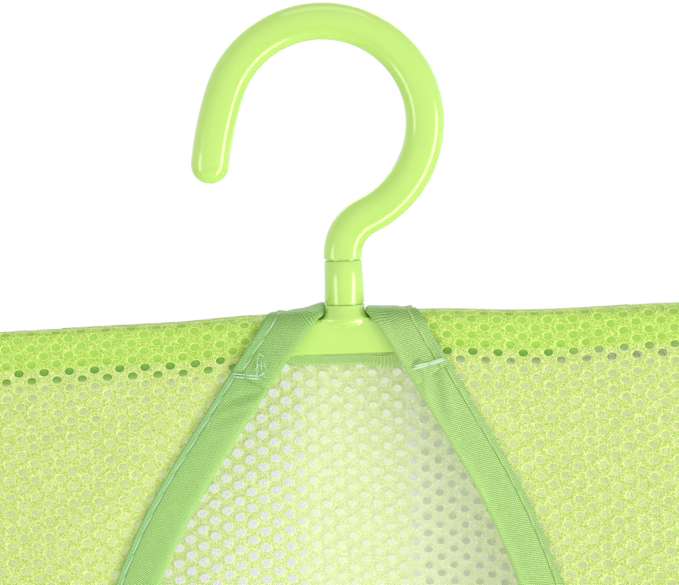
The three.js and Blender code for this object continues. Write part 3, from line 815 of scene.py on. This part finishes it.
def net_panel(name, side, fine_reach):
    """Half of the bag: cells cut to the outline, holes punched, then laid on the bag's surface. The
    holes within fine_reach of the middle are rounder than the rest."""
    shape = bmesh.new()
    wide = half_width_at(0) * 2
    columns = round(wide / column_pitch) // 2 * 2 + 1
    rows = round(bag_drop / hole_pitch) * 2
    bmesh.ops.create_grid(shape, x_segments=columns, y_segments=rows, size=0.5)
    bmesh.ops.transform(
        shape, verts=shape.verts,
        matrix=Matrix.Translation((0, bag_drop / 2, 0)) @ Matrix.Diagonal((wide, bag_drop, 1, 1)),
    )
    cell_width = wide / columns
    row_height = bag_drop / rows

    def odd(edge):
        """True for every other level edge, staggered from column to column as bricks are."""
        middle = (edge.verts[0].co + edge.verts[1].co) / 2
        column = round(middle.x / cell_width)
        return (column + round(middle.y / row_height) + (side < 0)) % 2

    level = [e for e in shape.edges if abs(e.verts[0].co.x - e.verts[1].co.x) > cell_width / 2]
    inner = [e for e in level if not e.is_boundary and odd(e)]
    for edge in level:
        if not odd(edge) or edge.is_boundary:
            middle = (edge.verts[0].co.x + edge.verts[1].co.x) / 2
            for vert in edge.verts:
                if not vert.is_boundary:
                    vert.co.x += side_lean if vert.co.x < middle else -side_lean
    bmesh.ops.dissolve_edges(shape, edges=inner, use_verts=False)
    middles = {f: f.calc_center_bounds() for f in shape.faces}
    gone = [f for f, middle in middles.items() if in_mouth(middle.x, side * middle.y)]
    bmesh.ops.delete(shape, geom=gone, context="FACES")
    rim = shape.verts.layers.float.new("rim")
    # Vertex layers of painted light and shade, coloured in the materials.
    painted_light_layers = ("shade", "bar_light", "pale", "dull")
    for tone in painted_light_layers:
        shape.verts.layers.float.new(tone)
    near = [(f, f.calc_center_bounds()) for f in shape.faces]
    fine = [f for f, middle in near if abs(middle.x) < fine_reach and middle.y < fine_drop]
    bmesh.ops.subdivide_edges(shape, edges=edges_of(fine), cuts=1)
    middles = {f: f.calc_center_bounds() for f in shape.faces}

    def shrink(cells, swell, sink, share):
        """Draws a smaller oval in each cell and gives its vertices a share of the rim's colour."""
        bmesh.ops.inset_individual(shape, faces=cells, thickness=first_inset)
        for cell in cells:
            middle = middles[cell]
            grown = swell * openness(middle.x, middle.y, side)
            for vert in cell.verts:
                away = vert.co - middle
                angle = math.atan2(away.y / hole_half_height, away.x / hole_half_width)
                vert.co.x = middle.x + hole_half_width * grown * math.cos(angle)
                vert.co.y = middle.y + hole_half_height * grown * math.sin(angle)
                vert.co.z = -sink
                vert[rim] = share

    shrink(fine, rim_swell, 0, 0)
    cells = list(middles)
    shrink(cells, 1, rim_sink, 1)
    cover = shape.verts.layers.float.new("cover")
    for cell in cells:
        share = float_cover(middles[cell].x, middles[cell].y, side)
        for vert in cell.verts:
            vert[cover] = share
    shape.faces.index_update()
    crossed = {cell.index for cell in cells if cell.verts[0][cover] > least_cover}
    floats = shape.copy()
    others = [f for f in floats.faces if f.index not in crossed]
    bmesh.ops.delete(floats, geom=others, context="FACES")
    bmesh.ops.delete(shape, geom=cells, context="FACES_ONLY")
    for mesh in (shape, floats):
        shade, bar_light, pale, dull = (mesh.verts.layers.float[tone] for tone in painted_light_layers)
        for vert in mesh.verts:
            x, down, height = vert.co
            down = min(max(down, fold_gap), bag_drop)
            wider = half_width_at(down) / half_width_at(0)
            # Painted light and shade: the back is paler round the mouth for light from behind and
            # duller grey in its holes for shade, the front's floats are dark green under the bar for
            # its shadow, and both are green over the bar for its light.
            if side < 0:
                to_right = smooth((x - 11 * mm) / (4 * mm))
                below = smooth((down - bar_shade_drop) / bar_shade_run) * near_mouth(x, down)
                vert[pale] = below * (0.34 - 0.24 * left_of_mouth(x) + 0.3 * to_right)
                vert[dull] = below * max(left_of_mouth(x), 0.75 * to_right)
            elif mesh is floats:
                vert[shade] = under_bar(x, down)
            vert[bar_light] = smooth((bar_foot_drop - 1 * mm - down) / (1.5 * mm))
            vert.co = off_cloth(x * wider, side * down, height)
        mesh.normal_update()
        facing = sum(f.normal.y * f.calc_area() for f in mesh.faces)
        if facing * side > 0:
            bmesh.ops.reverse_faces(mesh, faces=mesh.faces)
    panel = make_piece(name, shape, yarn, "bag", face_out=False)
    return panel, make_piece(name + "_floats", floats, loose_yarn, "bag", face_out=False)


yarn = net_material()
loose_yarn = float_material()
net_front, front_floats = net_panel("net_front", 1, 80 * mm)
net_back, back_floats = net_panel("net_back", -1, 62 * mm)
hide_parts("mesh_front")
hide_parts("mesh_back")

# The binding: mid-green woven polyester tape, folded lengthwise over every cut edge. It is made
# flat, with its length, its width and its height as the three axes, and then laid on the cloth.
leaf_rise = 0.86 * mm
neck_seam_in = 2 * mm
mouth_seam_in = 1.15 * mm
edge_seam_in = 1.5 * mm
stitch_rise = 0.56 * mm
tape_thickness = 0.3 * mm
tape_step = 1.1 * mm
leaf_steps = 18
weft_pitch = 0.42 * mm
warp_pitch = 0.44 * mm
tack_lift = 0.42 * mm
tack_sink = 0.12 * mm


def tape_material():
    """Mid-green woven tape: fine slanted ribs and a darker outer edge. It carries painted light,
    lighter along its fold, on its inner leaf and to the right, and painted shade, darker beside its
    stitches, higher up and over the bar."""
    sheen = {"Sheen Weight": 0.12, "Sheen Roughness": 0.4}
    material, surface, place = new_material("woven_tape", sheen)
    flat = place.node("ShaderNodeUVMap", {"uv_map": "tape"})
    along = flat.part("X")
    across = flat.part("Y")
    drift = place.noise(300.0)
    fuzz = place.noise(2600.0)
    slant = (along - across * 0.3 + drift * (0.6 * mm)) * (2 * math.pi / weft_pitch)
    warp = (across + drift * (0.3 * mm)) * (2 * math.pi / warp_pitch)
    crossing = slant.maths("COSINE", slant) * warp.maths("SINE", warp)
    weave_up = 0.5 + slant.maths("SINE", slant) * 0.32 + crossing * 0.44
    from_hem = 2 * tape_width - across
    hem = from_hem.spread(0.6 * mm, 1.7 * mm, 0.4, 1.0)
    fold = across.maths("MINIMUM", across, from_hem).spread(6.2 * mm, 8.6 * mm)
    shade = place.noise(110.0, 3.0)
    body = hem.mix(paint(56, 134, 56), paint(56, 130, 26))
    # Painted highlight: the tape is lighter along its fold.
    low = (fold * 0.6 + shade * 0.3).mix(body, paint(140, 198, 92))
    high = hem.mix(paint(178, 232, 160), paint(204, 242, 150))
    # Painted light: the tape is lighter towards the right.
    right_side_light = place.part("X").spread(-2 * mm, 12 * mm, 0.0, 0.1)
    high = (right_side_light * 4.5).mix(high, paint(232, 255, 170))
    outer = (weave_up * (0.55 + fuzz * 0.9)).mix(low, high)
    # Painted shade: darker higher up and most over the bar.
    upwards = place.part("Z")
    over_bar = upwards.spread(-64.5 * mm, -60.5 * mm, 0.0, 0.34)
    upper_shade = upwards.spread(-85 * mm, -68 * mm, 0.0, 0.16)
    upper_shade = upper_shade - right_side_light * 1.2 + over_bar * (0.45 + right_side_light * 5.5)
    # Painted shade: a dark line beside the stitches.
    beside_thread = place.attribute("from_seam") - 0.3 * mm
    seam_shade = beside_thread.maths("ABSOLUTE", beside_thread).spread(0.06 * mm, 0.26 * mm, 0.5, 0.0)
    outer = upper_shade.maths("MAXIMUM", upper_shade, seam_shade).mix(outer, paint(48, 110, 22))
    # Painted light: the inner leaf, which lies in shade, is painted lighter.
    inner_leaf_light = across.spread(tape_width * 0.98, tape_width * 1.02, 0.55, 0.0)
    inner_leaf_light.mix(outer, paint(222, 248, 172)).into(surface, "Base Color")
    (0.5 + shade * 0.25).into(surface, "Roughness")
    (weave_up + fuzz * 0.5).bump(0.6, 0.09 * mm).into(surface, "Normal")
    return material


def line_of(spots):
    """A middle line with the length run at each of its spots."""
    runs = [0]
    for (x1, d1, _), (x2, d2, _) in zip(spots, spots[1:]):
        runs.append(runs[-1] + math.hypot(x2 - x1, d2 - d1))
    return spots, runs


def on_line(line, along, across):
    """The place (x, drop) at a length along a middle line and a distance beside it."""
    spots, runs = line
    index = min(max(bisect_right(runs, along) - 1, 0), len(spots) - 2)
    share = (along - runs[index]) / (runs[index + 1] - runs[index])
    x, drop, heading = (a + (b - a) * share for a, b in zip(spots[index], spots[index + 1]))
    return beside((x, drop, heading), across)


def leaf_height(across, rise, seam_in):
    """How high a leaf of the tape stands over the cloth: pinched in at its row of stitches."""
    from_seam = across + tape_half - seam_in
    pinch = math.exp(-((from_seam / (1.1 * mm)) ** 2))
    return rise - (leaf_rise - stitch_rise) * pinch


def folded_section(share, rise, seam_in):
    """A place round the folded tape, (across, height), for a share from 0 to 1 leaf edge to edge."""
    side = 1 if share > 0.5 else -1
    leaf = tape_width - rise + rise * quarter
    run = abs(share - 0.5) * 2 * leaf
    if run < rise * quarter:
        return tape_half - rise + rise * math.cos(run / rise), side * rise * math.sin(run / rise)
    across = tape_half - rise - (run - rise * quarter)
    return across, side * leaf_height(across, rise, seam_in)


def folded_tape(length, rise_of, ruffle_of, seam_in):
    """A flat length of folded tape as a bmesh, with its own UV map in metres of cloth."""
    shape = bmesh.new()
    bmesh.ops.create_grid(
        shape, x_segments=round(length / tape_step), y_segments=leaf_steps * 2, size=0.5,
    )
    chart = shape.loops.layers.uv.new("tape")
    seam_way = shape.verts.layers.float.new("from_seam")
    for face in shape.faces:
        for loop in face.loops:
            u, v = loop.vert.co.x + 0.5, loop.vert.co.y + 0.5
            loop[chart].uv = (u * length, v * tape_width * 2)
    for vert in shape.verts:
        along = (vert.co.x + 0.5) * length
        across, height = folded_section(vert.co.y + 0.5, rise_of(along), seam_in)
        lift = ruffle_of(along, across) if height > 0 else 0
        vert[seam_way] = across + tape_half - seam_in
        vert.co = (along, across, height + lift)
    return shape


def lay(shape, place):
    """Carries a shape that was made flat to its place on the bag."""
    for vert in shape.verts:
        vert.co = place(*vert.co)


def finish_tape(name, shape):
    piece = make_piece(name, shape, weave, "bag", face_out=False)
    wall = piece.modifiers.new("cloth", "SOLIDIFY")
    wall.thickness = tape_thickness
    wall.offset = -1
    return piece


weave = tape_material()
tack_cover = 1.2 * mm
tack_under = 3 * mm
neck_line = line_of(leaned(mirrored(neck_spots)[:-1] + neck_spots))
mouth_line = line_of(leaned(mouth_spots + mirrored(mouth_spots)[1:]))
neck_length = neck_line[1][-1]
mouth_length = mouth_line[1][-1]


def neck_rise(along):
    """The upper tape rises over the lower one where the two are tacked together."""
    from_end = min(along, neck_length + tack_cover * 2 - along)
    return leaf_rise + tack_lift * smooth(1 - from_end / (6 * mm))


def mouth_rise(along):
    from_end = min(along, mouth_length + tack_under * 2 - along)
    return leaf_rise - tack_sink * smooth(1 - from_end / (5 * mm))


def neck_ruffle(along, across):
    ripple = math.sin(along / (3.1 * mm)) * math.sin(across / (2.6 * mm) + 1)
    return 0.06 * mm * ripple


crease_waves = (
    (0.3, 3.4, 1.2), (-0.7, 5.9, 1.3), (0.5, 8.3, 1.3), (-0.45, 10.8, 1.4), (0.25, 13.2, 1.8),
)


def mouth_ruffle(along, across):
    """Creases that run off the right tack, gathers that fan out below the left, and long ripples."""
    near = max(min(along - tack_under, mouth_length + tack_under - along), 0)
    gather = math.exp(-((near / (10 * mm)) ** 2))
    inner = smooth((across + tape_half - mouth_seam_in) / (3 * mm))
    inner *= smooth((tape_half - across) / (2 * mm))
    ripple = 0.12 * mm * math.sin(along / (6.3 * mm)) * math.sin(across / (3 * mm) + 1)
    if along > mouth_length / 2:
        slope = near + across
        crease = sum(
            size * math.exp(-(((slope / mm - middle) / reach) ** 2))
            for size, middle, reach in crease_waves
        )
        return inner * (crease * mm + ripple)
    fan = math.sin((across - near * 0.5) / (0.9 * mm))
    return inner * (0.6 * mm * gather * fan + ripple)


def corner_pull(along):
    """The upper tape turns up to the bar in a pleat, so its outer edge stays nearly square there."""
    from_middle = abs(along - tack_cover - neck_length / 2)
    turned = min(max((from_middle - tape_half) / (neck_tape_bend * quarter), 0), 1)
    return 1 + 0.6 * math.sin(math.pi * turned) ** 2


def on_neck(along, across, height):
    """The upper tape on the cloth, drawn up against the neck where it crosses the bar."""
    if across < 0:
        across *= corner_pull(along)
    place = off_cloth(*on_line(neck_line, along - tack_cover, across), height)
    near = smooth(1 - (abs(place.x) - 5 * mm) / (5 * mm))
    near *= smooth((place.z - bar_top_z + 2.5 * mm) / (3 * mm))
    behind = smooth(0.5 + place.y / (4 * mm))
    place.x -= (1.1 if place.x > 0 else -1.4) * mm * near
    place.z += (1.5 * behind if place.x < 0 else 0.2) * mm * near
    return place


def on_mouth(along, across, height):
    return off_cloth(*on_line(mouth_line, along - tack_under, across), height)


neck_tape = folded_tape(neck_length + tack_cover * 2, neck_rise, neck_ruffle, neck_seam_in)
lay(neck_tape, on_neck)
neck_binding = finish_tape("neck_tape", neck_tape)
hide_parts("neck_binding")
mouth_tape = folded_tape(mouth_length + tack_under * 2, mouth_rise, mouth_ruffle, mouth_seam_in)
lay(mouth_tape, on_mouth)
mouth_binding = finish_tape("mouth_tape", mouth_tape)
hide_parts("mouth_binding")

# The outer binding: the same tape, folded straight over both panels' edges down the sides and
# along the foot. The foot's tape runs past the sides' lower ends.
edge_inset = tape_width - 0.95 * mm - tape_half
seam_tape_rise = 1.55 * mm
foot_z = cloth_point(0, bag_drop).z
side_top = Vector((half_width_at(0) - edge_inset, 0, cloth_point(half_width_at(0), 0).z))
side_foot = Vector((half_width_at(bag_drop) - edge_inset, 0, foot_z))
side_gap = tape_width - 0.65 * mm
side_low = side_foot.lerp(side_top, side_gap / (side_top.z - side_foot.z))
foot_reach = half_width_at(bag_drop) + 0.75 * mm
foot_ends = [Vector((side * foot_reach, 0, foot_z + edge_inset)) for side in (-1, 1)]


def seam_rise(along):
    return seam_tape_rise


def seam_ruffle(along, across):
    """A sewn edge draws up a little between its stitches."""
    return 0.07 * mm * math.sin(along / (4.3 * mm)) * math.sin(across / (2.4 * mm) + 1)


def straight_place(start, end, out):
    """The place function and length of a straight edge, with out as the way out of the bag."""
    run = end - start

    def place(along, across, height):
        return start + run * (along / run.length) + Vector(out) * across + Vector((0, -height, 0))

    return place, run.length


edge_tapes = []
for name, start, end, out in (
    ("left_side", side_top * Vector((-1, 0, 1)), side_low * Vector((-1, 0, 1)), (-1, 0, 0)),
    ("right_side", side_low, side_top, (1, 0, 0)),
    ("bottom", foot_ends[0], foot_ends[1], (0, 0, -1)),
):
    on_edge, length = straight_place(start, end, out)
    strip = folded_tape(length, seam_rise, seam_ruffle, edge_seam_in)
    lay(strip, on_edge)
    binding = finish_tape(name + "_tape", strip)
    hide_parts(name + "_binding")
    edge_tapes.append((name, binding, length, on_edge))

# The stitching: pale polyester thread in long lockstitches near the leaf edges of every tape,
# through both leaves, and thick rows where the upper tape is tacked down on the mouth's.
thread_width = 0.28 * mm
stitch_pitch = 4.9 * mm
stitch_length = 4.6 * mm
stitch_slant = math.radians(4)


def thread_material(name, left_dye, right_dye):
    """Pale twisted thread of one dye to the left and another to the right."""
    material, surface, place = new_material(name, {"Sheen Weight": 0.2})
    drift = place.noise(60.0)
    tone = (place.part("X") + drift * (10 * mm)).spread(-4 * mm, 16 * mm).mix(left_dye, right_dye)
    ply = place.node(
        "ShaderNodeTexWave", {"bands_direction": "DIAGONAL"}, {"Vector": place, "Scale": 1400.0}, 1,
    )
    (0.4 + ply * 0.6).mix(paint(146, 206, 138), tone).into(surface, "Base Color")
    (0.45 + drift * 0.2).into(surface, "Roughness")
    ply.bump(0.5, 0.06 * mm).into(surface, "Normal")
    return material


def stitch(shape, place, turn, length, width=thread_width):
    """One stitch: a strand that dips into the cloth at both ends."""
    turned = Matrix.Rotation(turn, 4, "Z") @ Matrix.Rotation(quarter, 4, "Y")
    size = Matrix.Diagonal((width * 0.4, width / 2, length / 2, 1))
    bmesh.ops.create_uvsphere(
        shape, u_segments=6, v_segments=8, radius=1, matrix=Matrix.Translation(place) @ turned @ size,
    )


def seam(name, length, rise_of, place, seam_in):
    """A row of stitches along both leaves of a tape."""
    shape = bmesh.new()
    count = round(length / stitch_pitch)
    across = seam_in - tape_half
    for index in range(count):
        along = length * (index + 0.5) / count
        height = leaf_height(across, rise_of(along), seam_in) + thread_width * 0.1
        slant = stitch_slant * (1 + 0.5 * math.sin(index * 2.4))
        for side in (-1, 1):
            stitch(shape, (along, across, side * height), side * slant, stitch_length)
    lay(shape, place)
    row = make_piece(name + "_stitches", shape, thread, "bag")


thread = thread_material("thread", paint(214, 244, 214), paint(226, 232, 128))
tack_thread = thread_material("tack_thread", paint(220, 248, 222), paint(224, 248, 222))
seam("neck", neck_length + tack_cover * 2, neck_rise, on_neck, neck_seam_in)
seam("mouth", mouth_length + tack_under * 2, mouth_rise, on_mouth, mouth_seam_in)
for name, binding, length, on_edge in edge_tapes:
    seam(name, length, seam_rise, on_edge, edge_seam_in)

# The tacks: short rows of thicker thread through every layer, where the upper tape ends on the
# mouth's. The left one is a double row with loose zigzag threads, the right one a thick row.
left_row = [(-25.4, -72.2), (-22.5, -72.7), (-19.6, -73.2), (-18.2, -72.4)]
left_second_row = [(-25.1, -72.9), (-22.2, -73.4), (-19.4, -73.9)]
left_loops = [
    [(-20.3, -74.0), (-20.0, -71.2), (-19.6, -68.9), (-19.2, -68.2), (-18.2, -69.0)],
    [(-19.9, -73.8), (-19.7, -71.6), (-19.8, -70.0)],
    [(-19.0, -69.6), (-18.9, -71.6), (-18.6, -73.2), (-17.9, -73.6)],
    [(-18.3, -70.2), (-18.0, -71.6), (-17.4, -72.3)],
    [(-20.6, -72.0), (-19.3, -70.6), (-18.4, -71.0)],
]
right_row = [(14.6, -72.9), (18.1, -72.1), (21.7, -71.0)]
right_second_row = [(14.9, -72.3), (18.3, -71.6), (21.4, -70.7)]
tack_rise = leaf_rise + tack_lift
strand_overlap = 1.12


def tack(name, lines, width):
    """Strands from point to point of each line, given in millimetres across and up."""
    shape = bmesh.new()
    for line in lines:
        for (x1, z1), (x2, z2) in zip(line, line[1:]):
            start = Vector((x1 * mm, drop_at(z1 * mm), 0))
            end = Vector((x2 * mm, drop_at(z2 * mm), 0))
            run = end - start
            middle = (start + end) / 2 + Vector((0, 0, tack_rise))
            stitch(shape, middle, math.atan2(run.y, run.x), run.length * strand_overlap, width)
    lay(shape, off_cloth)
    knot = make_piece(name, shape, tack_thread, "bag")


tack("left_tack", [left_row, left_second_row], 0.3 * mm)
tack("left_tack_loops", left_loops, 0.17 * mm)
tack("right_tack", [right_row, right_second_row], 0.55 * mm)
